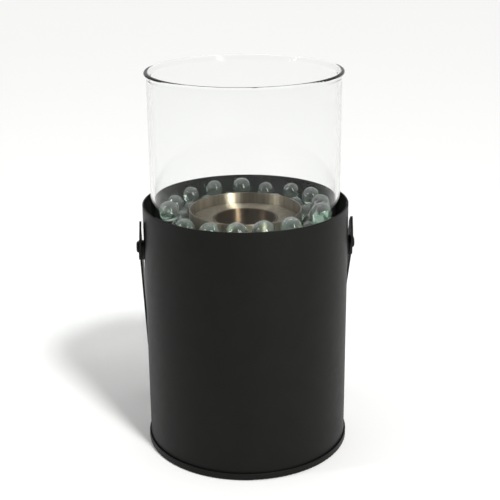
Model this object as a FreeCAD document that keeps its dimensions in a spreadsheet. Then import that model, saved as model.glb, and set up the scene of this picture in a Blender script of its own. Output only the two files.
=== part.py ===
import FreeCAD, Part
import math
import os
import re

import Sketcher

# Portable gas heater shaped like a lantern.  A black steel drum holds a gas canister, and a burner
# stands in its open top inside a clear glass tube, with glass stones lying around the burner.
# Millimetres.  +Z is up, the front looks along -Y, and the origin is on the ground under the centre.

doc = FreeCAD.newDocument("lantern_heater")

# ---------------------------------------------------------------------------------------------
# Sizes.  Each name is used by the formulas below, so one changed number moves everything on it.
# ---------------------------------------------------------------------------------------------

SIZES = {
    # Drum: a rolled sheet steel shell that stands in a pressed base pan.  It is just wide enough
    # for the glass with a gap round it, and as tall as the canister, valve and burner in it.
    "body_wall": 1.2,
    "side_gap": 5.5,
    "mat_inset": 4,
    "mat_thickness": 1.2,
    "pan_wall": 1.0,
    "pan_lift": 0.4,
    "band_gap": 0.4,
    "band_top": 6,
    "shell_lift": 0.4,
    "vent_count": 7,
    "vent_pitch": 9,
    "vent_width": 4,
    "vent_height": 26,
    "vent_foot": 52,
    # Gaps left between neighbouring sheets, and around anything that turns or slides.
    "sheet_gap": 0.3,
    "running_gap": 0.05,
    "hole_slack": 0.2,
    # Deck: the round tray under the glass and the stones.
    "deck_depth": 25,
    "deck_thickness": 1,
    "deck_skirt": 15,
    # Glass tube and the soft ring that it stands in.
    "glass_wall": 3,
    "glass_height": 126,
    "lip_flare": 1.8,
    "lip_height": 5,
    "gasket_wall": 1.2,
    "gasket_floor": 1.5,
    "gasket_height": 5,
    # Burner, from the middle outwards: a deep well, a shallow dish round it, an outer ring, and
    # the bed of stones between the ring and the glass.
    "well_radius": 24,
    "well_depth": 39.1,
    "well_lip": 0.9,
    "dish_width": 18.3,
    "dish_depth": 8.5,
    "ring_wall": 0.8,
    "ring_drop": 5.5,
    "ring_foot": 9,
    "bed_width": 26.4,
    "plate_depth": 20.3,
    "flame_hole": 1.1,
    "flame_rings": 4,
    "mixing_gap": 12.2,
    "tube_radius": 8,
    "tube_wall": 0.8,
    "tube_collar": 2.5,
    "air_hole": 1.5,
    "air_hole_rise": 5,
    # Glass stones.
    "stone_radius": 8.1,
    "stone_spread": 1.0,
    "stone_gap": 0.2,
    "stone_rise": 3,
    "stone_throws": 70,
    "first_throw": 90,
    "throw_turn": 127,
    "stone_roll": 9,
    # Gas canister on its pad.
    "pad_thickness": 2,
    "can_radius": 54,
    "can_height": 83,
    "neck_radius": 16,
    "neck_height": 4,
    "thread_radius": 5.5,
    "thread_height": 7,
    "gas_bore": 1.2,
    # Valve on the canister, and the bracket that holds it under the deck.
    "seal_thickness": 1.5,
    "flange_radius": 14,
    "flange_height": 4,
    "valve_radius": 10,
    "valve_height": 26,
    "arm_radius": 7,
    "arm_length": 24,
    "arm_rise": 1.5,
    "outlet_radius": 5,
    "outlet_height": 9,
    "nut_height": 4.5,
    "jet_height": 7,
    "jet_bore": 0.4,
    "strap_width": 26,
    "strap_thickness": 1.5,
    "strap_foot": 13,
    "screw_inset": 6.1,
    "screw_to_leg": 6,
    "screw_across": 8,
    "screw_radius": 1.5,
    # Control knob at the back, on a spindle that runs out through the shell.
    "spindle_radius": 3,
    "bush_radius": 5.5,
    "bush_flange": 7.5,
    "knob_radius": 16,
    "knob_length": 15,
    "knob_gap": 2,
    "knob_flutes": 18,
    # Carrying handle: a bent flat strip on two shoulder screws.
    "strip_width": 18,
    "strip_thickness": 1.6,
    "pivot_edge": 4.5,
    "spacer_length": 1.6,
    "plate_half_width": 5.2,
    "plate_rise": 5.2,
    "plate_drop": 10.4,
    "shoulder_radius": 3,
    "washer_thickness": 0.8,
    "head_radius": 4.5,
    "head_height": 1.8,
    "socket_radius": 1.8,
    "socket_depth": 1.1,
    "screw_thread": 2.5,
    "bend_radius": 45,
    "tip_length": 30,
    "tip_taper": 16,
    "tip_lean": 1.2,
    "handle_clearance": 8.5,
    "ground_gap": 2,
    # Bayonet catches between the shell and the base pan.
    "stud_radius": 1.8,
    "stud_height": 12,
    "stud_length": 4,
    "clip_gap": 1.1,
    "clip_height": 16,
    "clip_wall": 1.2,
    "clip_shelf": 4,
    "clip_angle": 17,
    "twist_angle": 15,
}

# Sizes that follow from the ones above, outwards from the well and upwards from the base.
FOLLOWING = {
    "well_outside": "well_radius + ring_wall",
    "ring_inside": "well_outside + dish_width",
    "ring_radius": "ring_inside + ring_wall",
    "glass_inside": "ring_radius + bed_width",
    "glass_radius": "glass_inside + glass_wall",
    "shell_inside": "glass_radius + side_gap",
    "body_radius": "shell_inside + body_wall",
    "mat_radius": "body_radius - mat_inset",
    "pan_radius": "body_radius + band_gap + pan_wall",
    "pan_floor": "mat_thickness + pan_wall",
    "shell_foot": "pan_floor + shell_lift",
    "can_foot": "pan_floor + pad_thickness",
    "can_shoulder": "can_foot + can_height",
    "neck_top": "can_shoulder + neck_height",
    "valve_foot": "neck_top + seal_thickness",
    "valve_top": "valve_foot + valve_height",
    "spindle_height": "valve_foot + flange_height + arm_radius + arm_rise",
    "strap_top": "valve_top + strap_thickness",
    "outlet_top": "valve_top + outlet_height",
    "jet_top": "outlet_top + jet_height",
    "tube_foot": "jet_top - jet_height / 2",
    "well_floor": "jet_top + mixing_gap",
    "tube_top": "well_floor + ring_wall * 3",
    "dish_top": "well_floor + well_depth",
    "plate_top": "dish_top - plate_depth",
    "plate_radius": "well_radius - sheet_gap",
    "plate_inside": "plate_radius - ring_wall",
    "ring_top": "dish_top + dish_depth",
    "rim_height": "ring_top + ring_drop",
    "deck_top": "rim_height - deck_depth",
    "deck_under": "deck_top - deck_thickness",
    "deck_radius": "shell_inside - sheet_gap",
    "skirt_inside": "deck_radius - deck_thickness",
    "pivot_height": "deck_top - deck_skirt + pivot_edge",
    "glass_foot": "deck_top + gasket_floor",
    "glass_top": "glass_foot + glass_height",
    "lip_radius": "glass_radius + lip_flare",
    "gasket_outside": "glass_radius + sheet_gap + gasket_wall",
    "gasket_inside": "glass_inside - sheet_gap - gasket_wall",
    "ring_sill": "deck_top + ring_wall",
    "dish_radius": "ring_inside - sheet_gap",
    "well_hole": "well_outside + sheet_gap",
    "screw_along": "ring_inside - screw_inset",
    "strap_half_span": "screw_along - screw_to_leg",
    "arm_end": "valve_radius + arm_length",
    "knob_back": "body_radius + knob_gap",
    "strip_inside": "body_radius + spacer_length",
    "strip_outside": "strip_inside + strip_thickness",
    "handle_reach": "pow(pow(glass_top - pivot_height; 2) + pow(lip_radius; 2); 0.5) + handle_clearance",
    "handle_end": "handle_reach + strip_thickness",
    "lean_start": "plate_drop + sheet_gap",
    "clip_outside": "shell_inside - clip_gap",
    "clip_inside": "clip_outside - clip_wall",
    "shelf_inside": "clip_outside - clip_shelf",
}

sheet = doc.addObject("Spreadsheet::Sheet", "sizes")
for row, (name, amount) in enumerate(SIZES.items(), start=1):
    sheet.set("A%d" % row, name)
    sheet.set("B%d" % row, str(amount))
    sheet.setAlias("B%d" % row, name)
for row, (name, rule) in enumerate(FOLLOWING.items(), start=1):
    sheet.set("C%d" % row, name)
    sheet.set("D%d" % row, "=" + rule)
    sheet.setAlias("D%d" % row, name)
doc.recompute()


# ---------------------------------------------------------------------------------------------
# Small tools for drawing with the named sizes
# ---------------------------------------------------------------------------------------------

def formula(text):
    """Point every size name in the text at the sheet."""
    return re.sub(r"[a-z]+(?:_[a-z]+)+", lambda found: "sizes." + found.group(0), text)


def number(text):
    """Work a formula out now, for a first position or a sum in this file."""
    result = sheet.evalExpression(formula(text))
    return float(getattr(result, "Value", result))


def bind(item, field, text):
    """Give an object's field a value and keep it on its formula."""
    item.setExpression(field, formula(text))


def new_body(name):
    body = doc.addObject("PartDesign::Body", name)
    body.Label = name
    return body


def origin_item(body, role):
    return next(item for item in body.Origin.OriginFeatures if item.Role == role)


def sketch_on(body, plane, name, lift="0"):
    """New sketch on one of the body's own planes, lifted along the plane's normal."""
    sketch = body.newObject("Sketcher::SketchObject", name)
    sketch.AttachmentSupport = (origin_item(body, plane), "")
    sketch.MapMode = "FlatFace"
    if lift != "0":
        bind(sketch, "AttachmentOffset.Base.z", lift)
    return sketch


def pin(sketch, kind, item, spot, text):
    """Hold one point at a distance from the sketch's own axis."""
    if text == "0":
        axis = -2 if kind == "DistanceX" else -1
        sketch.addConstraint(Sketcher.Constraint("PointOnObject", item, spot, axis))
        return
    index = sketch.addConstraint(Sketcher.Constraint(kind, -1, 1, item, spot, number(text)))
    bind(sketch, "Constraints[%d]" % index, text)


def outline(sketch, corners):
    """Closed outline of straight lines, with each corner given as two formulas."""
    places = [FreeCAD.Vector(number(across), number(up), 0) for across, up in corners]
    first = sketch.GeometryCount
    count = len(places)
    for index, place in enumerate(places):
        sketch.addGeometry(Part.LineSegment(place, places[(index + 1) % count]))
    for index in range(count):
        following = first + (index + 1) % count
        sketch.addConstraint(Sketcher.Constraint("Coincident", first + index, 2, following, 1))
    for index, (across, up) in enumerate(corners):
        pin(sketch, "DistanceX", first + index, 1, across)
        pin(sketch, "DistanceY", first + index, 1, up)


def circle(sketch, radius, across="0", up="0"):
    """Circle of a named radius."""
    middle = FreeCAD.Vector(number(across), number(up), 0)
    item = sketch.addGeometry(Part.Circle(middle, FreeCAD.Vector(0, 0, 1), number(radius)))
    pin(sketch, "DistanceX", item, 3, across)
    pin(sketch, "DistanceY", item, 3, up)
    index = sketch.addConstraint(Sketcher.Constraint("Radius", item, number(radius)))
    bind(sketch, "Constraints[%d]" % index, radius)


def rectangle(sketch, left, right, low, high):
    outline(sketch, [(left, low), (right, low), (right, high), (left, high)])


def revolve(body, name, corners, angle="360"):
    """Turn a half section round the body's upright axis."""
    sketch = sketch_on(body, "XZ_Plane", name + "_section")
    outline(sketch, corners)
    turned = body.newObject("PartDesign::Revolution", name)
    turned.Profile = sketch
    turned.ReferenceAxis = (sketch, ["V_Axis"])
    turned.Midplane = angle != "360"
    bind(turned, "Angle", angle)
    return turned


def pad(body, name, sketch, length, symmetric=False, reverse=False):
    solid = body.newObject("PartDesign::Pad", name)
    solid.Profile = sketch
    solid.SideType = "Symmetric" if symmetric else "One side"
    solid.Reversed = reverse
    bind(solid, "Length", length)
    return solid


def cut(body, name, sketch, length=None, symmetric=False):
    """Cut a sketch through the body, or to a depth.  It fails here if it takes nothing away."""
    doc.recompute()
    before = body.Shape.Volume
    hole = body.newObject("PartDesign::Pocket", name)
    hole.Profile = sketch
    hole.SideType = "Symmetric" if symmetric else "One side"
    if length is None:
        hole.Type = "ThroughAll"
    else:
        bind(hole, "Length", length)
    doc.recompute()
    if body.Shape.Volume > before - 0.01:
        raise RuntimeError(name + " cut nothing")
    return hole


def repeat_round(body, name, feature, count, axis="Z_Axis"):
    """Repeat a feature evenly round one of the body's axes."""
    pattern = body.newObject("PartDesign::PolarPattern", name)
    pattern.Originals = [feature]
    pattern.Axis = (origin_item(body, axis), [""])
    pattern.Angle = 360
    bind(pattern, "Occurrences", count)
    body.Tip = pattern
    return pattern


def round_edges(body, name, radius, wanted):
    """Round every edge of the body's tip that the test picks."""
    doc.recompute()
    tip = body.Tip
    names = ["Edge%d" % place for place, edge in enumerate(tip.Shape.Edges, start=1) if wanted(edge)]
    if not names:
        raise RuntimeError(name + " found no edge")
    rounding = body.newObject("PartDesign::Fillet", name)
    rounding.Base = (tip, names)
    bind(rounding, "Radius", radius)
    return rounding


def circle_edge(radius, height):
    """Test for a level circular edge of one radius at one height."""
    def wanted(edge):
        curve = edge.Curve
        return (
            isinstance(curve, Part.Circle)
            and abs(curve.Radius - number(radius)) < 0.01
            and abs(curve.Center.z - number(height)) < 0.01
        )
    return wanted


def group(name, solid, placements):
    """One node that holds the same solid at several places."""
    links = []
    for index, placement in enumerate(placements, start=1):
        link = doc.addObject("App::Link", "%s_%d" % (name, index))
        link.LinkedObject = solid
        link.Placement = placement
        links.append(link)
    compound = doc.addObject("Part::Compound", name)
    compound.Links = links
    compound.Label = name
    return compound


def turned_about_z(angle):
    return FreeCAD.Placement(FreeCAD.Vector(), FreeCAD.Rotation(FreeCAD.Vector(0, 0, 1), angle))


nodes = []

# ---------------------------------------------------------------------------------------------
# Base: a rubber mat under a pressed pan, which twists off the shell to reach the canister
# ---------------------------------------------------------------------------------------------

base_mat = new_body("base_mat")
mat_sketch = sketch_on(base_mat, "XY_Plane", "mat_outline")
circle(mat_sketch, "mat_radius")
pad(base_mat, "mat_disc", mat_sketch, "mat_thickness")
nodes.append(base_mat)

base_pan = new_body("base_pan")
revolve(base_pan, "pan_cup", [
    ("0", "mat_thickness"),
    ("mat_radius + sheet_gap", "mat_thickness"),
    ("mat_radius + sheet_gap", "pan_lift"),
    ("pan_radius", "pan_lift"),
    ("pan_radius", "band_top"),
    ("pan_radius - pan_wall", "band_top"),
    ("pan_radius - pan_wall", "pan_floor"),
    ("0", "pan_floor"),
])
round_edges(base_pan, "pan_lower_round", "1.0", circle_edge("pan_radius", "pan_lift"))
round_edges(base_pan, "pan_upper_round", "0.35", circle_edge("pan_radius", "band_top"))
nodes.append(base_pan)

# Three clips stand on the pan.  The shell's stud slides along the slot in each, and drops out of
# the slot's upright mouth once the pan is twisted.
clip = new_body("bayonet_clip")
revolve(clip, "clip_angle_piece", [
    ("shelf_inside", "pan_floor"),
    ("clip_outside", "pan_floor"),
    ("clip_outside", "pan_floor + clip_height"),
    ("clip_inside", "pan_floor + clip_height"),
    ("clip_inside", "pan_floor + clip_wall"),
    ("shelf_inside", "pan_floor + clip_wall"),
], "clip_angle * 2")
slot_sketch = sketch_on(clip, "YZ_Plane", "clip_slot_outline")
outline(slot_sketch, [
    ("-clip_outside * sin(twist_angle / 2) - stud_radius - sheet_gap", "stud_height - stud_radius - sheet_gap"),
    ("clip_outside * sin(twist_angle / 2) + stud_radius + sheet_gap", "stud_height - stud_radius - sheet_gap"),
    ("clip_outside * sin(twist_angle / 2) + stud_radius + sheet_gap", "stud_height + stud_radius + sheet_gap"),
    ("-clip_outside * sin(twist_angle / 2) + stud_radius + sheet_gap", "stud_height + stud_radius + sheet_gap"),
    ("-clip_outside * sin(twist_angle / 2) + stud_radius + sheet_gap", "pan_floor + clip_height + 1"),
    ("-clip_outside * sin(twist_angle / 2) - stud_radius - sheet_gap", "pan_floor + clip_height + 1"),
])
cut(clip, "clip_slot", slot_sketch, symmetric=True)

CATCH_ANGLES = (90, 210, 330)
nodes.append(group("bayonet_clips", clip, [turned_about_z(angle) for angle in CATCH_ANGLES]))

stud = new_body("catch_stud")
stud_sketch = sketch_on(stud, "YZ_Plane", "stud_outline", "shell_inside - 0.1 - stud_length")
circle(stud_sketch, "stud_radius", "0", "stud_height")
pad(stud, "stud_pin", stud_sketch, "stud_length")
stud_offset = number("twist_angle") / 2
nodes.append(group("catch_studs", stud, [turned_about_z(angle + stud_offset) for angle in CATCH_ANGLES]))

# ---------------------------------------------------------------------------------------------
# Shell: rolled sheet, open at both ends, with holes for the handle, the knob and the air
# ---------------------------------------------------------------------------------------------

housing_shell = new_body("housing_shell")
shell_sketch = sketch_on(housing_shell, "XY_Plane", "shell_outline", "shell_foot")
circle(shell_sketch, "body_radius")
circle(shell_sketch, "shell_inside")
pad(housing_shell, "shell_tube", shell_sketch, "rim_height - shell_foot")

pivot_sketch = sketch_on(housing_shell, "YZ_Plane", "shell_pivot_circle")
circle(pivot_sketch, "screw_thread + hole_slack", "0", "pivot_height")
cut(housing_shell, "shell_pivot_holes", pivot_sketch, symmetric=True)

back_sketch = sketch_on(housing_shell, "XZ_Plane", "shell_bush_circle")
circle(back_sketch, "bush_radius + sheet_gap", "0", "spindle_height")
cut(housing_shell, "shell_bush_hole", back_sketch, "body_radius + 5")

vent_sketch = sketch_on(housing_shell, "XZ_Plane", "shell_vent_outlines")
VENT_COUNT = int(number("vent_count"))
for vent in range(VENT_COUNT):
    middle = "vent_pitch * %g" % (vent - (VENT_COUNT - 1) / 2)
    rectangle(
        vent_sketch,
        middle + " - vent_width / 2",
        middle + " + vent_width / 2",
        "vent_foot",
        "vent_foot + vent_height",
    )
cut(housing_shell, "shell_vents", vent_sketch, "body_radius + 5")
round_edges(housing_shell, "shell_rim_round", "0.4", circle_edge("body_radius", "rim_height"))
nodes.append(housing_shell)

# ---------------------------------------------------------------------------------------------
# Deck, glass seat and glass tube
# ---------------------------------------------------------------------------------------------

burner_deck = new_body("burner_deck")
revolve(burner_deck, "deck_tray", [
    ("well_hole", "deck_under"),
    ("skirt_inside", "deck_under"),
    ("skirt_inside", "deck_top - deck_skirt"),
    ("deck_radius", "deck_top - deck_skirt"),
    ("deck_radius", "deck_top"),
    ("well_hole", "deck_top"),
])
round_edges(burner_deck, "deck_round", "1.2", circle_edge("deck_radius", "deck_top"))
deck_pivot = sketch_on(burner_deck, "YZ_Plane", "deck_pivot_circle")
circle(deck_pivot, "screw_thread + hole_slack", "0", "pivot_height")
cut(burner_deck, "deck_pivot_holes", deck_pivot, symmetric=True)


def four_screw_holes(body, name):
    """Holes for the four small screws that clamp ring, deck and strap together."""
    sketch = sketch_on(body, "XY_Plane", name + "_circles")
    for across in ("screw_along", "-screw_along"):
        for along in ("screw_across", "-screw_across"):
            circle(sketch, "screw_radius + hole_slack", across, along)
    doc.recompute()
    cut(body, name, sketch, symmetric=True)


four_screw_holes(burner_deck, "deck_screw_holes")
nodes.append(burner_deck)

glass_gasket = new_body("glass_gasket")
revolve(glass_gasket, "gasket_channel", [
    ("gasket_inside", "deck_top"),
    ("gasket_outside", "deck_top"),
    ("gasket_outside", "deck_top + gasket_height"),
    ("glass_radius + sheet_gap", "deck_top + gasket_height"),
    ("glass_radius + sheet_gap", "glass_foot"),
    ("glass_inside - sheet_gap", "glass_foot"),
    ("glass_inside - sheet_gap", "deck_top + gasket_height"),
    ("gasket_inside", "deck_top + gasket_height"),
])
nodes.append(glass_gasket)

glass_tube = new_body("glass_tube")
revolve(glass_tube, "glass_wall_turned", [
    ("glass_inside", "glass_foot"),
    ("glass_radius", "glass_foot"),
    ("glass_radius", "glass_top - lip_height"),
    ("lip_radius", "glass_top - lip_height * 0.3"),
    ("lip_radius", "glass_top"),
    ("lip_radius - glass_wall", "glass_top"),
    ("glass_inside", "glass_top - lip_height"),
])
round_edges(glass_tube, "glass_lip_outside", "1.2", circle_edge("lip_radius", "glass_top"))
round_edges(glass_tube, "glass_lip_inside", "1.2", circle_edge("lip_radius - glass_wall", "glass_top"))
nodes.append(glass_tube)

# ---------------------------------------------------------------------------------------------
# Burner: ring, dish, well, flame plate and mixing tube
# ---------------------------------------------------------------------------------------------

burner_ring = new_body("burner_ring")
revolve(burner_ring, "ring_wall_turned", [
    ("ring_inside - ring_foot", "deck_top"),
    ("ring_radius", "deck_top"),
    ("ring_radius", "ring_top"),
    ("ring_inside", "ring_top"),
    ("ring_inside", "ring_sill"),
    ("ring_inside - ring_foot", "ring_sill"),
])
round_edges(burner_ring, "ring_rim_round", "0.3", circle_edge("ring_radius", "ring_top"))
four_screw_holes(burner_ring, "ring_screw_holes")
nodes.append(burner_ring)

burner_dish = new_body("burner_dish")
revolve(burner_dish, "dish_turned", [
    ("well_hole", "dish_top - ring_wall"),
    ("dish_radius - ring_wall", "dish_top - ring_wall"),
    ("dish_radius - ring_wall", "ring_sill"),
    ("dish_radius", "ring_sill"),
    ("dish_radius", "dish_top"),
    ("well_hole", "dish_top"),
])
round_edges(burner_dish, "dish_round", "1.0", circle_edge("dish_radius", "dish_top"))
nodes.append(burner_dish)

# The well hangs by its lip from the hole in the dish.
burner_well = new_body("burner_well")
revolve(burner_well, "well_turned", [
    ("tube_radius + sheet_gap", "well_floor"),
    ("well_outside", "well_floor"),
    ("well_outside", "dish_top"),
    ("well_outside + well_lip", "dish_top"),
    ("well_outside + well_lip", "dish_top + ring_wall"),
    ("well_radius", "dish_top + ring_wall"),
    ("well_radius", "well_floor + ring_wall"),
    ("tube_radius + sheet_gap", "well_floor + ring_wall"),
])
round_edges(burner_well, "well_lip_round", "0.3", circle_edge("well_radius", "dish_top + ring_wall"))
nodes.append(burner_well)

# The flame plate is an upturned cap with rings of small holes, where the gas burns.
flame_plate = new_body("flame_plate")
revolve(flame_plate, "plate_cap", [
    ("0", "plate_top - ring_wall"),
    ("plate_inside", "plate_top - ring_wall"),
    ("plate_inside", "well_floor + ring_wall"),
    ("plate_radius", "well_floor + ring_wall"),
    ("plate_radius", "plate_top"),
    ("0", "plate_top"),
])
for ring_number in range(1, int(number("flame_rings")) + 1):
    flame_sketch = sketch_on(flame_plate, "XY_Plane", "flame_circle_%d" % ring_number, "plate_top")
    circle(flame_sketch, "flame_hole", "plate_inside * %d / (flame_rings + 1)" % ring_number, "0")
    flame_cut = cut(flame_plate, "flame_hole_%d" % ring_number, flame_sketch, "ring_wall * 2")
    repeat_round(flame_plate, "flame_holes_%d" % ring_number, flame_cut, "%d" % (6 * ring_number))
nodes.append(flame_plate)

mixing_tube = new_body("mixing_tube")
revolve(mixing_tube, "tube_turned", [
    ("tube_radius - tube_wall", "tube_foot"),
    ("tube_radius", "tube_foot"),
    ("tube_radius", "well_floor - tube_wall"),
    ("tube_radius + tube_collar", "well_floor - tube_wall"),
    ("tube_radius + tube_collar", "well_floor"),
    ("tube_radius", "well_floor"),
    ("tube_radius", "tube_top"),
    ("tube_radius - tube_wall", "tube_top"),
])
for plane in ("XZ_Plane", "YZ_Plane"):
    air_sketch = sketch_on(mixing_tube, plane, "air_circle_" + plane[:2].lower())
    circle(air_sketch, "air_hole", "0", "jet_top + air_hole_rise")
    cut(mixing_tube, "air_holes_" + plane[:2].lower(), air_sketch, symmetric=True)
nodes.append(mixing_tube)

# ---------------------------------------------------------------------------------------------
# Gas canister, valve, jet and the strap that hangs them from the deck
# ---------------------------------------------------------------------------------------------

can_pad = new_body("can_pad")
pad_sketch = sketch_on(can_pad, "XY_Plane", "pad_outline", "pan_floor")
circle(pad_sketch, "can_radius + 2")
pad(can_pad, "pad_disc", pad_sketch, "pad_thickness")
nodes.append(can_pad)

gas_can = new_body("gas_can")
revolve(gas_can, "can_drawn", [
    ("0", "can_foot + 4"),
    ("can_radius - 9", "can_foot + 3"),
    ("can_radius - 6", "can_foot"),
    ("can_radius - 2", "can_foot"),
    ("can_radius", "can_foot + 2"),
    ("can_radius", "can_shoulder - 20"),
    ("can_radius - 5", "can_shoulder - 11"),
    ("can_radius - 16", "can_shoulder - 4"),
    ("neck_radius", "can_shoulder"),
    ("neck_radius", "neck_top"),
    ("thread_radius", "neck_top"),
    ("thread_radius", "neck_top + thread_height"),
    ("gas_bore", "neck_top + thread_height"),
    ("gas_bore", "can_shoulder - 1"),
    ("neck_radius - 1", "can_shoulder - 1"),
    ("can_radius - 16.5", "can_shoulder - 5.1"),
    ("can_radius - 5.9", "can_shoulder - 11.8"),
    ("can_radius - 1", "can_shoulder - 20.4"),
    ("can_radius - 1", "can_foot + 2.6"),
    ("can_radius - 2.5", "can_foot + 1"),
    ("can_radius - 5.4", "can_foot + 1"),
    ("can_radius - 8.4", "can_foot + 4"),
    ("0", "can_foot + 5"),
])
nodes.append(gas_can)

valve_seal = new_body("valve_seal")
revolve(valve_seal, "seal_turned", [
    ("thread_radius + sheet_gap", "neck_top"),
    ("neck_radius - 3", "neck_top"),
    ("neck_radius - 3", "valve_foot"),
    ("thread_radius + sheet_gap", "valve_foot"),
])
nodes.append(valve_seal)

valve_body = new_body("valve_body")
revolve(valve_body, "valve_turned", [
    ("thread_radius + running_gap", "valve_foot"),
    ("flange_radius", "valve_foot"),
    ("flange_radius", "valve_foot + flange_height"),
    ("valve_radius", "valve_foot + flange_height"),
    ("valve_radius", "valve_top"),
    ("outlet_radius", "valve_top"),
    ("outlet_radius", "outlet_top"),
    ("gas_bore", "outlet_top"),
    ("gas_bore", "neck_top + thread_height + 0.5"),
    ("thread_radius + running_gap", "neck_top + thread_height + 0.5"),
])
arm_sketch = sketch_on(valve_body, "XZ_Plane", "arm_outline")
circle(arm_sketch, "arm_radius", "0", "spindle_height")
pad(valve_body, "valve_arm", arm_sketch, "arm_end", reverse=True)
arm_bore_sketch = sketch_on(valve_body, "XZ_Plane", "arm_bore_outline")
circle(arm_bore_sketch, "spindle_radius + running_gap", "0", "spindle_height")
cut(valve_body, "arm_bore", arm_bore_sketch, "arm_end + 1")
nodes.append(valve_body)

valve_strap = new_body("valve_strap")
strap_sketch = sketch_on(valve_strap, "XZ_Plane", "strap_side")
LEG_INSIDE = "strap_half_span - strap_thickness"
FOOT_END = "strap_half_span + strap_foot"
outline(strap_sketch, [
    ("-strap_half_span", "valve_top"),
    ("strap_half_span", "valve_top"),
    ("strap_half_span", "deck_under - strap_thickness"),
    (FOOT_END, "deck_under - strap_thickness"),
    (FOOT_END, "deck_under"),
    (LEG_INSIDE, "deck_under"),
    (LEG_INSIDE, "strap_top"),
    ("-(" + LEG_INSIDE + ")", "strap_top"),
    ("-(" + LEG_INSIDE + ")", "deck_under"),
    ("-(" + FOOT_END + ")", "deck_under"),
    ("-(" + FOOT_END + ")", "deck_under - strap_thickness"),
    ("-strap_half_span", "deck_under - strap_thickness"),
])
pad(valve_strap, "strap_bent", strap_sketch, "strap_width", symmetric=True)
strap_hole = sketch_on(valve_strap, "XY_Plane", "strap_outlet_circle")
circle(strap_hole, "outlet_radius + sheet_gap")
cut(valve_strap, "strap_outlet_hole", strap_hole, symmetric=True)
four_screw_holes(valve_strap, "strap_screw_holes")
nodes.append(valve_strap)


def hex_nut(name, across_corners, height, bore):
    """Six-sided nut standing on the level plane, bored through."""
    blank = doc.addObject("Part::Prism", name + "_blank")
    blank.Polygon = 6
    bind(blank, "Circumradius", across_corners + " / 2")
    bind(blank, "Height", height)
    drill = doc.addObject("Part::Cylinder", name + "_drill")
    bind(drill, "Radius", bore)
    bind(drill, "Height", height)
    nut = doc.addObject("Part::Cut", name)
    nut.Base = blank
    nut.Tool = drill
    nut.Label = name
    return nut


valve_nut = hex_nut("valve_nut", "outlet_radius * 3.5", "nut_height", "outlet_radius + running_gap")
valve_nut.Placement.Base.z = number("strap_top")
nodes.append(valve_nut)

gas_jet = new_body("gas_jet")
revolve(gas_jet, "jet_turned", [
    ("jet_bore", "outlet_top"),
    ("outlet_radius - 0.6", "outlet_top"),
    ("outlet_radius - 0.6", "jet_top - jet_height * 0.4"),
    ("outlet_radius * 0.4", "jet_top"),
    ("jet_bore", "jet_top"),
])
nodes.append(gas_jet)

strap_screw = new_body("strap_screw")
revolve(strap_screw, "strap_screw_turned", [
    ("0", "deck_under - strap_thickness - 4"),
    ("screw_radius", "deck_under - strap_thickness - 4"),
    ("screw_radius", "ring_sill"),
    ("screw_radius * 1.8", "ring_sill"),
    ("screw_radius * 1.8", "ring_sill + 1.6"),
    ("0", "ring_sill + 1.6"),
])
strap_nut = hex_nut("strap_nut", "screw_radius * 4.2", "2.4", "screw_radius + running_gap")

screw_places = []
nut_places = []
for across in (-1, 1):
    for along in (-1, 1):
        x = across * number("screw_along")
        y = along * number("screw_across")
        screw_places.append(FreeCAD.Placement(FreeCAD.Vector(x, y, 0), FreeCAD.Rotation()))
        nut_height = number("deck_under - strap_thickness - 2.4")
        nut_places.append(FreeCAD.Placement(FreeCAD.Vector(x, y, nut_height), FreeCAD.Rotation()))
nodes.append(group("strap_screws", strap_screw, screw_places))
nodes.append(group("strap_nuts", strap_nut, nut_places))

# ---------------------------------------------------------------------------------------------
# Control: gland nut, spindle, bush and knob, drawn upright and then laid over to point backwards
# ---------------------------------------------------------------------------------------------

POINT_BACK = FreeCAD.Placement(
    FreeCAD.Vector(0, 0, number("spindle_height")),
    FreeCAD.Rotation(FreeCAD.Vector(1, 0, 0), -90),
)

gland_nut = hex_nut("gland_nut", "arm_radius * 2.6", "6", "spindle_radius + running_gap")
gland_nut.Placement = POINT_BACK * FreeCAD.Placement(
    FreeCAD.Vector(0, 0, number("arm_end")), FreeCAD.Rotation()
)
nodes.append(gland_nut)

valve_spindle = new_body("valve_spindle")
revolve(valve_spindle, "spindle_turned", [
    ("0", "valve_radius - 6"),
    ("spindle_radius - 1", "valve_radius - 6"),
    ("spindle_radius", "valve_radius"),
    ("spindle_radius", "knob_back + knob_length * 0.6"),
    ("0", "knob_back + knob_length * 0.6"),
])
valve_spindle.Placement = POINT_BACK
nodes.append(valve_spindle)

spindle_bush = new_body("spindle_bush")
revolve(spindle_bush, "bush_turned", [
    ("spindle_radius + running_gap", "shell_inside - 2"),
    ("bush_radius", "shell_inside - 2"),
    ("bush_radius", "body_radius"),
    ("bush_flange", "body_radius"),
    ("bush_flange", "body_radius + 1.2"),
    ("spindle_radius + running_gap", "body_radius + 1.2"),
])
spindle_bush.Placement = POINT_BACK
nodes.append(spindle_bush)

control_knob = new_body("control_knob")
revolve(control_knob, "knob_turned", [
    ("spindle_radius + running_gap", "knob_back"),
    ("knob_radius", "knob_back"),
    ("knob_radius", "knob_back + knob_length * 0.25"),
    ("knob_radius * 0.92", "knob_back + knob_length * 0.32"),
    ("knob_radius * 0.88", "knob_back + knob_length"),
    ("0", "knob_back + knob_length"),
    ("0", "knob_back + knob_length * 0.65"),
    ("spindle_radius + running_gap", "knob_back + knob_length * 0.65"),
])
round_edges(
    control_knob, "knob_face_round", "1.5", circle_edge("knob_radius * 0.88", "knob_back + knob_length")
)
flute_sketch = sketch_on(control_knob, "XY_Plane", "flute_outline", "knob_back + knob_length")
circle(flute_sketch, "knob_radius * 0.08", "knob_radius * 0.94", "0")
flute_cut = cut(control_knob, "knob_flute", flute_sketch, "knob_length * 0.6")
repeat_round(control_knob, "knob_flutes_round", flute_cut, "knob_flutes")
mark_sketch = sketch_on(control_knob, "XY_Plane", "mark_outline", "knob_back + knob_length")
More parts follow.
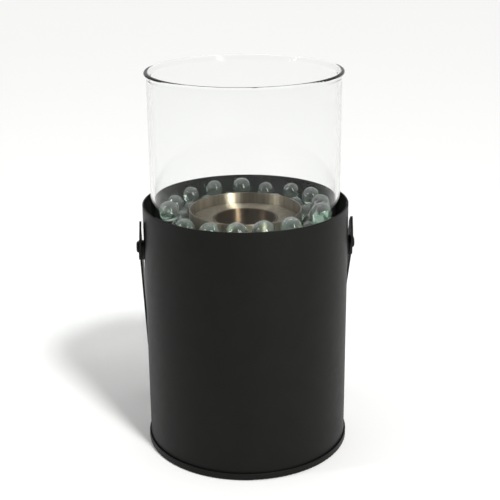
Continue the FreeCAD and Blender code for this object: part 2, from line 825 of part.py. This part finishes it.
rectangle(mark_sketch, "-0.8", "0.8", "-knob_radius * 0.7", "-knob_radius * 0.25")
cut(control_knob, "knob_mark", mark_sketch, "0.8")
control_knob.Placement = POINT_BACK
nodes.append(control_knob)

# ---------------------------------------------------------------------------------------------
# Handle: a flat strip bent into a bow, with pointed ends that run on past the two pivots and
# lean in a little towards the shell
# ---------------------------------------------------------------------------------------------

handle_bail = new_body("handle_bail")
bow_sketch = sketch_on(handle_bail, "XZ_Plane", "bow_outline")
outline(bow_sketch, [
    ("tip_lean - strip_outside", "tip_length"),
    ("-strip_outside", "lean_start"),
    ("-strip_outside", "-handle_end"),
    ("strip_outside", "-handle_end"),
    ("strip_outside", "lean_start"),
    ("strip_outside - tip_lean", "tip_length"),
    ("strip_inside - tip_lean", "tip_length"),
    ("strip_inside", "lean_start"),
    ("strip_inside", "-handle_reach"),
    ("-strip_inside", "-handle_reach"),
    ("-strip_inside", "lean_start"),
    ("tip_lean - strip_inside", "tip_length"),
])
pad(handle_bail, "bow_strip", bow_sketch, "strip_width", symmetric=True)


def bend_edge(across, depth):
    """Test for the edges that run along the strip's width at the two lower corners."""
    def wanted(edge):
        middle = edge.CenterOfMass
        along = abs(edge.Vertexes[0].Y - edge.Vertexes[-1].Y)
        return (
            along > number("strip_width") * 0.9
            and abs(abs(middle.x) - number(across)) < 0.01
            and abs(middle.z + number(depth)) < 0.01
        )
    return wanted


round_edges(handle_bail, "bow_outer_bends", "bend_radius", bend_edge("strip_outside", "handle_end"))
round_edges(
    handle_bail, "bow_inner_bends", "bend_radius - strip_thickness", bend_edge("strip_inside", "handle_reach")
)

# Both pointed ends: two corners are taken off each, so the end narrows to a blunt point.
for side in (-1, 1):
    point_sketch = sketch_on(handle_bail, "YZ_Plane", "point_outline_%s" % ("front" if side < 0 else "back"))
    outline(point_sketch, [
        ("%d * 0.7" % side, "tip_length"),
        ("%d * strip_width * 0.3" % side, "tip_length - tip_taper * 0.5"),
        ("%d * strip_width / 2" % side, "tip_length - tip_taper"),
        ("%d * (strip_width / 2 + 1)" % side, "tip_length - tip_taper"),
        ("%d * (strip_width / 2 + 1)" % side, "tip_length + 1"),
        ("%d * 0.7" % side, "tip_length + 1"),
    ])
    cut(handle_bail, "point_cut_%s" % ("front" if side < 0 else "back"), point_sketch, symmetric=True)
bail_hole = sketch_on(handle_bail, "YZ_Plane", "bail_pivot_circle")
circle(bail_hole, "shoulder_radius + running_gap")
cut(handle_bail, "bail_pivot_holes", bail_hole, symmetric=True)

# The bow hangs behind the shell until it meets either the shell or the ground.
HALF_STRIP = number("strip_width") / 2
inner_corner = math.hypot(number("handle_reach"), HALF_STRIP)
outer_corner = math.hypot(number("handle_end"), HALF_STRIP)
shell_angle = math.asin((number("body_radius + sheet_gap")) / inner_corner)
shell_angle += math.atan(HALF_STRIP / number("handle_reach"))
ground_angle = math.acos(min(1, number("pivot_height - ground_gap") / outer_corner))
ground_angle += math.atan(HALF_STRIP / number("handle_end"))
if number("pivot_height - ground_gap") > outer_corner:
    ground_angle = 0
REST_ANGLE = math.degrees(max(shell_angle, ground_angle))
handle_bail.Placement = FreeCAD.Placement(
    FreeCAD.Vector(0, 0, number("pivot_height")),
    FreeCAD.Rotation(FreeCAD.Vector(1, 0, 0), REST_ANGLE),
)
nodes.append(handle_bail)

# Pivot hardware, drawn upright: up stands for the distance out from the centre line, and the
# sketch's across direction points down the side of the drum.
POINT_RIGHT = FreeCAD.Placement(
    FreeCAD.Vector(0, 0, number("pivot_height")),
    FreeCAD.Rotation(FreeCAD.Vector(0, 1, 0), 90),
)
SIDES = [turned_about_z(angle) * POINT_RIGHT for angle in (0, 180)]


def pivot_plate(name, near, far):
    """Oblong plate round the pivot screw, from one distance out to another.  It hangs low."""
    plate = new_body(name)
    sketch = sketch_on(plate, "XY_Plane", name + "_outline", near)
    rectangle(sketch, "-plate_rise", "plate_drop", "-plate_half_width", "plate_half_width")
    circle(sketch, "shoulder_radius + hole_slack")
    pad(plate, name + "_blank", sketch, "%s - (%s)" % (far, near))

    def corner(edge):
        first = edge.Vertexes[0]
        last = edge.Vertexes[-1]
        on_side = abs(abs(first.Y) - number("plate_half_width")) < 0.01
        return on_side and abs(first.Z - last.Z) > 0.01

    round_edges(plate, name + "_corners", "plate_half_width * 0.96", corner)
    return plate


HEAD_SEAT = "strip_outside + running_gap + washer_thickness"
spacer = pivot_plate("pivot_spacer", "body_radius", "strip_inside - running_gap")
nodes.append(group("pivot_spacers", spacer, SIDES))
washer = pivot_plate("pivot_washer", "strip_outside + running_gap", HEAD_SEAT)
nodes.append(group("pivot_washers", washer, SIDES))
pivot_screw = new_body("pivot_screw")
revolve(pivot_screw, "pivot_screw_turned", [
    ("0", "skirt_inside - 6"),
    ("screw_thread", "skirt_inside - 6"),
    ("screw_thread", "body_radius"),
    ("shoulder_radius", "body_radius"),
    ("shoulder_radius", HEAD_SEAT),
    ("head_radius", HEAD_SEAT),
    ("head_radius", HEAD_SEAT + " + head_height"),
    ("0", HEAD_SEAT + " + head_height"),
])
round_edges(
    pivot_screw, "screw_head_dome", "head_height * 0.85", circle_edge("head_radius", HEAD_SEAT + " + head_height")
)
socket_sketch = sketch_on(pivot_screw, "XY_Plane", "socket_outline", HEAD_SEAT + " + head_height")
outline(socket_sketch, [
    ("socket_radius * cos(%d)" % corner, "socket_radius * sin(%d)" % corner)
    for corner in range(30, 390, 60)
])
cut(pivot_screw, "screw_socket", socket_sketch, "socket_depth")
nodes.append(group("pivot_screws", pivot_screw, SIDES))

pivot_nut = hex_nut("pivot_nut", "screw_thread * 3.6", "4", "screw_thread + running_gap")
nut_out = FreeCAD.Placement(FreeCAD.Vector(0, 0, number("skirt_inside - 4.25")), FreeCAD.Rotation())
nodes.append(group("pivot_nuts", pivot_nut, [side * nut_out for side in SIDES]))

# ---------------------------------------------------------------------------------------------
# Glass stones, dropped one by one round the bed between the burner and the glass
# ---------------------------------------------------------------------------------------------


BED_INSIDE = number("ring_radius + stone_gap")
BED_OUTSIDE = number("gasket_inside - stone_gap")
BED_FLOOR = number("deck_top + stone_gap")
BED_LIMIT = number("rim_height + stone_rise")
STONE_GAP = number("stone_gap")
STONE_ROLL = int(number("stone_roll"))
BED_STEPS = 6


def spots_near(angle, radius):
    """Places a stone of this radius can roll to from an angle, clear of the burner and the glass."""
    nearest = BED_INSIDE + radius
    farthest = BED_OUTSIDE - radius
    for degrees in range(-STONE_ROLL, STONE_ROLL + 1):
        turned = math.radians(angle + degrees)
        for step in range(BED_STEPS + 1):
            reach = nearest + (farthest - nearest) * step / BED_STEPS
            yield reach * math.cos(turned), reach * math.sin(turned)


def resting_height(x, y, radius, stones):
    """Height at which a stone dropped here stops, on the floor or on the stones below it."""
    height = BED_FLOOR + radius
    for other_x, other_y, other_height, other_radius in stones:
        touching = radius + other_radius + STONE_GAP
        rise = touching ** 2 - (x - other_x) ** 2 - (y - other_y) ** 2
        if rise > 0:
            height = max(height, other_height + math.sqrt(rise))
    return height


# The stones differ a little in size.  Each is thrown a set turn on from the last one and rolls to
# the lowest spot near by.  One that would stand too high there is taken out again.
stones = []
for throw in range(int(number("stone_throws"))):
    angle = number("first_throw") + number("throw_turn") * throw
    radius = number("stone_radius") + number("stone_spread") * math.sin(2.4 * len(stones))
    x, y = min(spots_near(angle, radius), key=lambda spot: resting_height(*spot, radius, stones))
    height = resting_height(x, y, radius, stones)
    if height + radius <= BED_LIMIT:
        stones.append((x, y, height, radius))

glass_stones = doc.addObject("Part::Feature", "glass_stones")
glass_stones.Shape = Part.makeCompound(
    [Part.makeSphere(radius, FreeCAD.Vector(x, y, z)) for x, y, z, radius in stones]
)
glass_stones.Label = "glass_stones"
nodes.append(glass_stones)

# ---------------------------------------------------------------------------------------------
# Check everything and write one file for each node
# ---------------------------------------------------------------------------------------------

doc.recompute()
for item in doc.Objects:
    if "Invalid" in item.State or "Error" in item.State:
        raise RuntimeError(item.Label + " did not build")

os.makedirs("parts", exist_ok=True)
for node in nodes:
    shape = node.Shape
    if shape.isNull() or not shape.isValid() or not shape.Solids:
        raise RuntimeError(node.Label + " has no valid solid")
    shape.exportStep("parts/" + node.Label + ".step")
    print(node.Label, len(shape.Solids), round(shape.Volume, 1))
print("rest angle of the handle", round(REST_ANGLE, 3), "pivot height", number("pivot_height"))
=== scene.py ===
import math

import bmesh
import bpy
from mathutils import Euler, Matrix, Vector, noise


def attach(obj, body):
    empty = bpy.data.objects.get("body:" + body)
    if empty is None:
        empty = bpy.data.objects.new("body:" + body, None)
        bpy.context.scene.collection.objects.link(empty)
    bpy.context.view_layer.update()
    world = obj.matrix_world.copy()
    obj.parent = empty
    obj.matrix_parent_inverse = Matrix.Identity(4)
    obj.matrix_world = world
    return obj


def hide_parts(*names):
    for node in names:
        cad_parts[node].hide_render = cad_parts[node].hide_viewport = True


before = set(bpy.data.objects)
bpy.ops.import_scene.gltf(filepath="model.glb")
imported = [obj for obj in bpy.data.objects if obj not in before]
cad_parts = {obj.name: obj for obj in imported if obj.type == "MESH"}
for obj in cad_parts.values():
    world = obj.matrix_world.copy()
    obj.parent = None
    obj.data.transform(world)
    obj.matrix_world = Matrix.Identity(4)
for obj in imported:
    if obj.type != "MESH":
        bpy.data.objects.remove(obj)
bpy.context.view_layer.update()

# ------------------------------------------------------------------------------------------------
# Ground, camera and lights
# The heater stands on a seamless white sheet in a white room.  A key light like the sun shines from
# the front right, two tall strips light its sides, and a faint soft light hangs behind and above it.
# The camera looks down on it from a little left of its front.

STAND_BACK = 0.8078
CAMERA_HEIGHT = 0.4393
LOOK_DOWN = math.radians(19.1)
WALK_LEFT = math.radians(2.75)
CAMERA_TILT = -0.010
LENS = 77.85
SIDE_SHIFT = 0.0084

lens = bpy.data.cameras.new("studio_camera")
lens.lens = LENS
lens.sensor_width = 36
lens.shift_x = SIDE_SHIFT
lens.clip_start = 0.01
camera = bpy.data.objects.new("studio_camera", lens)
camera.location = (
    -STAND_BACK * math.sin(WALK_LEFT), -STAND_BACK * math.cos(WALK_LEFT), CAMERA_HEIGHT
)
facing = Euler((math.pi / 2 - LOOK_DOWN, 0, -WALK_LEFT)).to_matrix()
camera.rotation_euler = (facing @ Euler((0, 0, CAMERA_TILT)).to_matrix()).to_euler()
bpy.context.scene.collection.objects.link(camera)
bpy.context.scene.camera = camera
bpy.context.scene.view_settings.view_transform = "Standard"

OBJECT_MIDDLE = Vector((0, 0, 0.15))
# Each light's name, place, width and height in metres, power in watts, and colour.
SOFT_LIGHTS = (
    ("top_light", (-0.1, 0.5, 1.5), 0.8, 0.8, 1.0, (1, 1, 1)),
    ("left_strip", (-0.95, -0.25, 0.85), 0.06, 0.9, 1.8, (1, 1, 1)),
    ("right_strip", (0.57, -0.94, 0.55), 0.14, 0.8, 5.5, (1, 1, 0.98)),
)
for name, place, width, height, power, colour in SOFT_LIGHTS:
    light = bpy.data.lights.new(name, "AREA")
    light.shape = "RECTANGLE"
    light.size = width
    light.size_y = height
    light.energy = power
    light.color = colour
    lamp = bpy.data.objects.new(name, light)
    lamp.location = place
    lamp.rotation_euler = (OBJECT_MIDDLE - Vector(place)).to_track_quat("-Z", "Y").to_euler()
    bpy.context.scene.collection.objects.link(lamp)

# The key light stands far off to the front right, so its rays fall side by side like the sun's.
KEY_WALK = math.radians(29)
KEY_RISE = math.radians(44)
KEY_WIDTH = math.radians(8)
KEY_STRENGTH = 2.15
KEY_COLOUR = (1, 1, 0.99)

key_light = bpy.data.lights.new("key_light", "SUN")
key_light.energy = KEY_STRENGTH
key_light.angle = KEY_WIDTH
key_light.color = KEY_COLOUR
key_lamp = bpy.data.objects.new("key_light", key_light)
key_lamp.rotation_euler = (math.pi / 2 - KEY_RISE, 0, KEY_WALK)
bpy.context.scene.collection.objects.link(key_lamp)

SHEET_SIZE = 60

half = SHEET_SIZE / 2
ground_mesh = bpy.data.meshes.new("studio_sheet")
ground_mesh.from_pydata(
    [(-half, -half, 0), (half, -half, 0), (half, half, 0), (-half, half, 0)], [], [(0, 1, 2, 3)]
)
ground = bpy.data.objects.new("studio_sheet", ground_mesh)
bpy.context.scene.collection.objects.link(ground)

# A Mix node set to colours takes them on its seventh and eighth sockets, and gives its third output.
FIRST_COLOUR = 6
SECOND_COLOUR = 7
MIXED_COLOUR = 2


class Shade:
    """A socket in one material.  Sums written on it become Math nodes."""

    def __init__(self, material, socket=None):
        self.material = material
        self.socket = socket

    def node(self, kind, settings, sockets, output=0):
        """Add a node: its settings first, then the values or links of its sockets."""
        made = self.material.node_tree.nodes.new(kind)
        for name, value in settings.items():
            setattr(made, name, value)
        for name, value in sockets.items():
            port = made.inputs[name]
            if isinstance(value, Shade):
                self.material.node_tree.links.new(value.socket, port)
            else:
                port.default_value = value
        return Shade(self.material, made.outputs[output])

    def sum(self, operation, first, second):
        return self.node("ShaderNodeMath", {"operation": operation}, {0: first, 1: second})

    def __add__(self, other):
        return self.sum("ADD", self, other)

    __radd__ = __add__

    def __mul__(self, other):
        return self.sum("MULTIPLY", self, other)

    __rmul__ = __mul__

    def between(self, low, high, first, last):
        """Go smoothly from one value at a low level to another at a high one."""
        return self.node(
            "ShaderNodeMapRange",
            {"interpolation_type": "SMOOTHSTEP", "clamp": True},
            {"Value": self, "From Min": low, "From Max": high, "To Min": first, "To Max": last},
        )

    def place(self):
        """Where a point is on the piece, in metres."""
        return self.node("ShaderNodeTexCoord", {}, {}, "Object")

    def stretched(self, scale):
        """The same place, stretched by three factors."""
        return self.node(
            "ShaderNodeVectorMath", {"operation": "MULTIPLY"}, {0: self.place(), 1: scale}
        )

    def grain(self, place, scale, detail=3.0):
        """Random clouds from 0 to 1, a number of them to the metre."""
        return self.node(
            "ShaderNodeTexNoise", {}, {"Vector": place, "Scale": scale, "Detail": detail}
        )

    def blend(self, amount, first, second):
        """A colour between two colours."""
        return self.node(
            "ShaderNodeMix",
            {"data_type": "RGBA"},
            {"Factor": amount, FIRST_COLOUR: first, SECOND_COLOUR: second},
            MIXED_COLOUR,
        )

    def relief(self, height, distance, strength=1.0):
        """Surface bumps of a height in metres."""
        return self.node(
            "ShaderNodeBump", {}, {"Height": height, "Distance": distance, "Strength": strength}
        )


# The room is white all round, and dark only behind the camera.  Its light changes with how far a
# direction points to the back, from -1 at the front to 1 at the back.
ROOM_LIGHT = 0.60
DARK_LIGHT = 0.10
DARK_UP_TO = -0.85
WHITE_FROM = -0.15

world = bpy.data.worlds.new("studio_air")
world.use_nodes = True
room = Shade(world)
skyward = room.node("ShaderNodeTexCoord", {}, {}, "Generated")
backward = room.node("ShaderNodeSeparateXYZ", {}, {"Vector": skyward}, "Y")
brightness = backward.between(DARK_UP_TO, WHITE_FROM, DARK_LIGHT, ROOM_LIGHT)
background = world.node_tree.nodes["Background"]
background.inputs["Color"].default_value = (1, 1, 1, 1)
world.node_tree.links.new(brightness.socket, background.inputs["Strength"])
bpy.context.scene.world = world


def new_finish(name, fixed, varying):
    """Material with one shader: fixed values on its sockets, and functions that make its links."""
    material = bpy.data.materials.new(name)
    material.use_nodes = True
    shader = material.node_tree.nodes["Principled BSDF"]
    for socket, value in fixed.items():
        shader.inputs[socket].default_value = value
    for socket, make in varying.items():
        material.node_tree.links.new(make(Shade(material)).socket, shader.inputs[socket])
    return material


SHEET_DARK = (0.955, 0.952, 0.945, 1)
SHEET_LIGHT = (0.96, 0.958, 0.952, 1)
SHEET_CLOUDS = 3

sheet_finish = new_finish(
    "sheet_paper",
    {"Roughness": 0.9, "Specular IOR Level": 0.1},
    {
        "Base Color": lambda shade: shade.blend(
            shade.grain(shade.place(), SHEET_CLOUDS), SHEET_DARK, SHEET_LIGHT
        ),
    },
)
ground_mesh.materials.append(sheet_finish)

# ------------------------------------------------------------------------------------------------
# Drum, base pan and burner deck
# The drum is rolled sheet steel; the base pan and the deck inside are pressed.  All three have a
# black powder coat baked on, satin with a very fine orange peel.  The pan twists onto catches in
# the drum, and the deck carries the burner, the glass tube and the stones.

COAT_DARK = (0.0030, 0.0031, 0.0028, 1)
COAT_LIGHT = (0.0055, 0.0056, 0.0050, 1)
COAT_CLOUDS = 60
DRUM_ROUGHNESS = 0.42
ROUGHNESS_RANGE = 0.10
ROUGHNESS_CLOUDS = 140
PEEL_GRAINS = 1800
PEEL_DEPTH = 0.00004
PEEL_STRENGTH = 0.5


def dress(node, finish):
    """Give a CAD node its finish."""
    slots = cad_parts[node].data.materials
    slots.clear()
    slots.append(finish)


def powder_coat(name, roughness):
    """Baked black coat, a little rougher in some places than in others."""
    return new_finish(
        name,
        {"Specular IOR Level": 0.13},
        {
            "Base Color": lambda shade: shade.blend(
                shade.grain(shade.place(), COAT_CLOUDS), COAT_DARK, COAT_LIGHT
            ),
            "Roughness": lambda shade: (
                roughness + ROUGHNESS_RANGE * shade.grain(shade.place(), ROUGHNESS_CLOUDS)
            ),
            "Normal": lambda shade: shade.relief(
                shade.grain(shade.place(), PEEL_GRAINS, 2), PEEL_DEPTH, PEEL_STRENGTH
            ),
        },
    )


drum_coat = powder_coat("drum_coat", DRUM_ROUGHNESS)
for node in ("housing_shell", "base_pan", "burner_deck"):
    dress(node, drum_coat)

# ------------------------------------------------------------------------------------------------
# Handle and its pivots
# A flat steel strip bent into a bow with pointed ends, in a black coat a little glossier than the
# drum's.  A screw on each side holds it by a washer, and a spacer keeps it off the drum.

STRIP_ROUGHNESS = 0.36

strip_coat = powder_coat("strip_coat", STRIP_ROUGHNESS)
for node in ("handle_bail", "pivot_washers", "pivot_screws"):
    dress(node, strip_coat)

# ------------------------------------------------------------------------------------------------
# Rubber and plastic
# The mat under the base, the pad under the gas can, the valve seal and the soft seat of the glass
# tube are moulded black rubber.  The knob, the bush of its spindle and the handle's spacers are
# moulded black plastic.


def grey(level):
    return (level, level, level, 1)


RUBBER_DARK = grey(0.012)
RUBBER_LIGHT = grey(0.022)
RUBBER_CLOUDS = 90
RUBBER_DULL_CLOUDS = 200
RUBBER_GRAINS = 2500
RUBBER_GRAIN_DEPTH = 0.00005

rubber = new_finish(
    "black_rubber",
    {"Specular IOR Level": 0.3},
    {
        "Base Color": lambda shade: shade.blend(
            shade.grain(shade.place(), RUBBER_CLOUDS), RUBBER_DARK, RUBBER_LIGHT
        ),
        "Roughness": lambda shade: 0.7 + 0.2 * shade.grain(shade.place(), RUBBER_DULL_CLOUDS),
        "Normal": lambda shade: shade.relief(
            shade.grain(shade.place(), RUBBER_GRAINS), RUBBER_GRAIN_DEPTH
        ),
    },
)
for node in ("base_mat", "can_pad", "valve_seal", "glass_gasket"):
    dress(node, rubber)

PLASTIC_DARK = grey(0.010)
PLASTIC_LIGHT = grey(0.016)
PLASTIC_CLOUDS = 90
PLASTIC_DULL_CLOUDS = 300
PLASTIC_GRAINS = 3500
PLASTIC_GRAIN_DEPTH = 0.00004

plastic = new_finish(
    "knob_plastic",
    {"Specular IOR Level": 0.4},
    {
        "Base Color": lambda shade: shade.blend(
            shade.grain(shade.place(), PLASTIC_CLOUDS), PLASTIC_DARK, PLASTIC_LIGHT
        ),
        "Roughness": lambda shade: 0.5 + 0.1 * shade.grain(shade.place(), PLASTIC_DULL_CLOUDS),
        "Normal": lambda shade: shade.relief(
            shade.grain(shade.place(), PLASTIC_GRAINS), PLASTIC_GRAIN_DEPTH
        ),
    },
)
for node in ("control_knob", "spindle_bush", "pivot_spacers"):
    dress(node, plastic)

# ------------------------------------------------------------------------------------------------
# Burner
# The ring and the dish floor inside it are stainless sheet, spun and brushed round.  The well in the
# middle, the pierced flame plate and the mixing tube below are the same steel, browned by the flame.

STEEL_DARK = (0.04, 0.030, 0.016, 1)
STEEL_LIGHT = (0.66, 0.59, 0.46, 1)
BROWN_DARK = (0.03, 0.020, 0.011, 1)
BROWN_LIGHT = (0.26, 0.19, 0.12, 1)
STEEL_ROUGHNESS = 0.36
STAIN_CLOUDS = 35
# Stretch of the vertical streaks of painted reflection in the metal's colour, and their share of it.
PAINTED_REFLECTION_STREAKS = (420, 420, 14)
PAINTED_REFLECTION_SHARE = 0.55
BRUSH_LINES = (30, 30, 2500)
BRUSH_RANGE = 0.08
SCRATCHES = (20, 20, 3000)
SCRATCH_DEPTH = 0.00003
SCRATCH_STRENGTH = 0.4


def brushed(name, dark, light, roughness):
    """Spun metal: fine lines run round it, random stains cloud its colour, and streaks of painted
    reflection run down it.
    """
    return new_finish(
        name,
        {"Metallic": 1.0, "Anisotropic": 1.0, "Anisotropic Rotation": 0.25},
        {
            "Base Color": lambda shade: shade.blend(
                # Random stain clouds, mixed with vertical streaks of painted reflection.
                (1 - PAINTED_REFLECTION_SHARE) * shade.grain(shade.place(), STAIN_CLOUDS)
                + PAINTED_REFLECTION_SHARE * shade.grain(shade.stretched(PAINTED_REFLECTION_STREAKS), 1, 3),
                dark,
                light,
            ),
            "Roughness": lambda shade: (
                roughness + BRUSH_RANGE * shade.grain(shade.stretched(BRUSH_LINES), 1, 2)
            ),
            "Normal": lambda shade: shade.relief(
                shade.grain(shade.stretched(SCRATCHES), 1, 2), SCRATCH_DEPTH, SCRATCH_STRENGTH
            ),
        },
    )


stainless = brushed("stainless", STEEL_DARK, STEEL_LIGHT, STEEL_ROUGHNESS)
for node in ("burner_ring", "burner_dish"):
    dress(node, stainless)
browned = brushed("browned_steel", BROWN_DARK, BROWN_LIGHT, STEEL_ROUGHNESS)
for node in ("burner_well", "flame_plate", "mixing_tube"):
    dress(node, browned)

# ------------------------------------------------------------------------------------------------
# Gas parts inside
# The valve with its nuts and jet is turned from brass, and screws onto a painted steel can.  The
# valve's strap, the screws and nuts, the spindle and the catches of the base are zinc-plated steel.

ZINC_DARK = (0.50, 0.51, 0.53, 1)
ZINC_LIGHT = (0.62, 0.63, 0.64, 1)
ZINC_ROUGHNESS = 0.3
BRASS_DARK = (0.62, 0.45, 0.18, 1)
BRASS_LIGHT = (0.75, 0.58, 0.28, 1)
BRASS_ROUGHNESS = 0.25
CAN_DARK = (0.30, 0.33, 0.34, 1)
CAN_LIGHT = (0.36, 0.39, 0.40, 1)
CAN_CLOUDS = 30
CAN_DULL_CLOUDS = 120

zinc = brushed("zinc_plate", ZINC_DARK, ZINC_LIGHT, ZINC_ROUGHNESS)
for node in (
    "bayonet_clips", "catch_studs", "valve_strap", "strap_screws", "strap_nuts", "pivot_nuts",
    "valve_spindle",
):
    dress(node, zinc)
brass = brushed("turned_brass", BRASS_DARK, BRASS_LIGHT, BRASS_ROUGHNESS)
for node in ("valve_body", "valve_nut", "gland_nut", "gas_jet"):
    dress(node, brass)
can_paint = new_finish(
    "can_paint",
    {"Specular IOR Level": 0.5},
    {
        "Base Color": lambda shade: shade.blend(
            shade.grain(shade.place(), CAN_CLOUDS), CAN_DARK, CAN_LIGHT
        ),
        "Roughness": lambda shade: 0.3 + 0.1 * shade.grain(shade.place(), CAN_DULL_CLOUDS),
    },
)
dress("gas_can", can_paint)

# ------------------------------------------------------------------------------------------------
# Glass tube
# A clear glass tube, open at both ends, with a slightly flared lip.  It stands loose in its soft
# seat on the deck and lifts straight off.

TUBE_DARK = (0.985, 0.99, 0.985, 1)
TUBE_LIGHT = (0.99, 0.995, 0.99, 1)
TUBE_CLOUDS = 20
# This is lower than real glass, which is about 1.47 and covers the tube in a haze of reflections.
TUBE_IOR = 1.2
TUBE_SHADOW = (0.95, 0.97, 0.96, 1)
TUBE_DEPTH_TINT = (0.52, 0.56, 0.52, 1)
TUBE_DENSITY = 14


def let_light_in(material, tint):
    """Glass throws hardly any shadow: the lamps' rays pass it with a light tint."""
    shade = Shade(material)
    shader = Shade(material, material.node_tree.nodes["Principled BSDF"].outputs[0])
    clear = shade.node("ShaderNodeBsdfTransparent", {}, {"Color": tint})
    for_lamps = shade.node("ShaderNodeLightPath", {}, {}, "Is Shadow Ray")
    mixed = shade.node("ShaderNodeMixShader", {}, {0: for_lamps, 1: shader, 2: clear})
    output = material.node_tree.nodes["Material Output"]
    material.node_tree.links.new(mixed.socket, output.inputs["Surface"])


def tint_inside(material, colour, density):
    """Glass soaks up a little light on the way through, so it darkens where it's seen edge on."""
    soaking = Shade(material).node(
        "ShaderNodeVolumeAbsorption", {}, {"Color": colour, "Density": density}
    )
    output = material.node_tree.nodes["Material Output"]
    material.node_tree.links.new(soaking.socket, output.inputs["Volume"])


clear_glass = new_finish(
    "clear_glass",
    {"Transmission Weight": 1.0, "IOR": TUBE_IOR, "Roughness": 0.0},
    {
        "Base Color": lambda shade: shade.blend(
            shade.grain(shade.place(), TUBE_CLOUDS), TUBE_DARK, TUBE_LIGHT
        ),
    },
)
let_light_in(clear_glass, TUBE_SHADOW)
tint_inside(clear_glass, TUBE_DEPTH_TINT, TUBE_DENSITY)
dress("glass_tube", clear_glass)

# ------------------------------------------------------------------------------------------------
# Glass stones
# Loose cast glass balls, clear with a green tint and a little lumpy.  They are poured on the deck
# between the burner's ring and the glass tube, and lie where they come to rest.

# A stone stays inside the CAD ball it stands for: it is shrunk a little, and its lumps and dimples
# only go inwards.
STONE_SHRINK = 0.99
STONE_FINENESS = 4
STONE_TURNS = (1.1, 2.3, 0.7)
LUMPS = 1.6
LUMP_DEPTH = 0.05
DIMPLES = 3.4
DIMPLE_DEPTH = 0.02
PATTERN_STEP = 7.0
SAME_SPOT = 1e-5

stone_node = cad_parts["glass_stones"]


def loose_parts(mesh):
    """The middle and radius of each separate ball in a mesh."""
    work = bmesh.new()
    work.from_mesh(mesh)
    bmesh.ops.remove_doubles(work, verts=work.verts, dist=SAME_SPOT)
    unseen = set(work.verts)
    balls = []
    while unseen:
        waiting = [unseen.pop()]
        part = []
        while waiting:
            vert = waiting.pop()
            part.append(vert.co.copy())
            for edge in vert.link_edges:
                other = edge.other_vert(vert)
                if other in unseen:
                    unseen.remove(other)
                    waiting.append(other)
        low = Vector([min(co[axis] for co in part) for axis in range(3)])
        high = Vector([max(co[axis] for co in part) for axis in range(3)])
        balls.append(((low + high) / 2, (high.z - low.z) / 2))
    work.free()
    return sorted(balls, key=lambda ball: (round(ball[0].z, 4), round(ball[0].x, 4)))


stone_mesh = bmesh.new()
for index, (middle, radius) in enumerate(loose_parts(stone_node.data)):
    made = bmesh.ops.create_icosphere(stone_mesh, subdivisions=STONE_FINENESS, radius=1)
    turn = Euler([index * step for step in STONE_TURNS]).to_matrix()
    for vert in made["verts"]:
        outward = vert.co.normalized()
        lump = 0.5 + 0.5 * noise.noise(outward * LUMPS + Vector((index * PATTERN_STEP, 0, 0)))
        dimple = 0.5 + 0.5 * noise.noise(outward * DIMPLES + Vector((0, index * PATTERN_STEP, 0)))
        reach = radius * STONE_SHRINK * (1 - LUMP_DEPTH * lump - DIMPLE_DEPTH * dimple)
        vert.co = middle + turn @ (outward * reach)
for face in stone_mesh.faces:
    face.smooth = True
stones_data = bpy.data.meshes.new("loose_stones")
stone_mesh.to_mesh(stones_data)
stone_mesh.free()
stones = bpy.data.objects.new("loose_stones", stones_data)
bpy.context.scene.collection.objects.link(stones)

STONE_DARK = (0.70, 0.89, 0.77, 1)
STONE_LIGHT = (0.90, 0.98, 0.93, 1)
STONE_CLOUDS = 60
STONE_HAZE = 0.02
STONE_HAZE_CLOUDS = 150
RIPPLES = 110
RIPPLE_DEPTH = 0.0025
RIPPLE_STRENGTH = 0.7
STONE_SHADOW = (0.78, 0.88, 0.83, 1)

green_glass = new_finish(
    "green_glass",
    {
        "Transmission Weight": 0.99,
        "IOR": 1.52,
        "Coat Weight": 1.0,
        "Coat IOR": 1.7,
        "Coat Roughness": 0.01,
    },
    {
        "Base Color": lambda shade: shade.blend(
            shade.grain(shade.place(), STONE_CLOUDS), STONE_DARK, STONE_LIGHT
        ),
        "Roughness": lambda shade: STONE_HAZE * shade.grain(shade.place(), STONE_HAZE_CLOUDS),
        "Normal": lambda shade: shade.relief(
            shade.grain(shade.place(), RIPPLES, 2), RIPPLE_DEPTH, RIPPLE_STRENGTH
        ),
    },
)
let_light_in(green_glass, STONE_SHADOW)
stones_data.materials.append(green_glass)
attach(stones, "housing")
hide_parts("glass_stones")
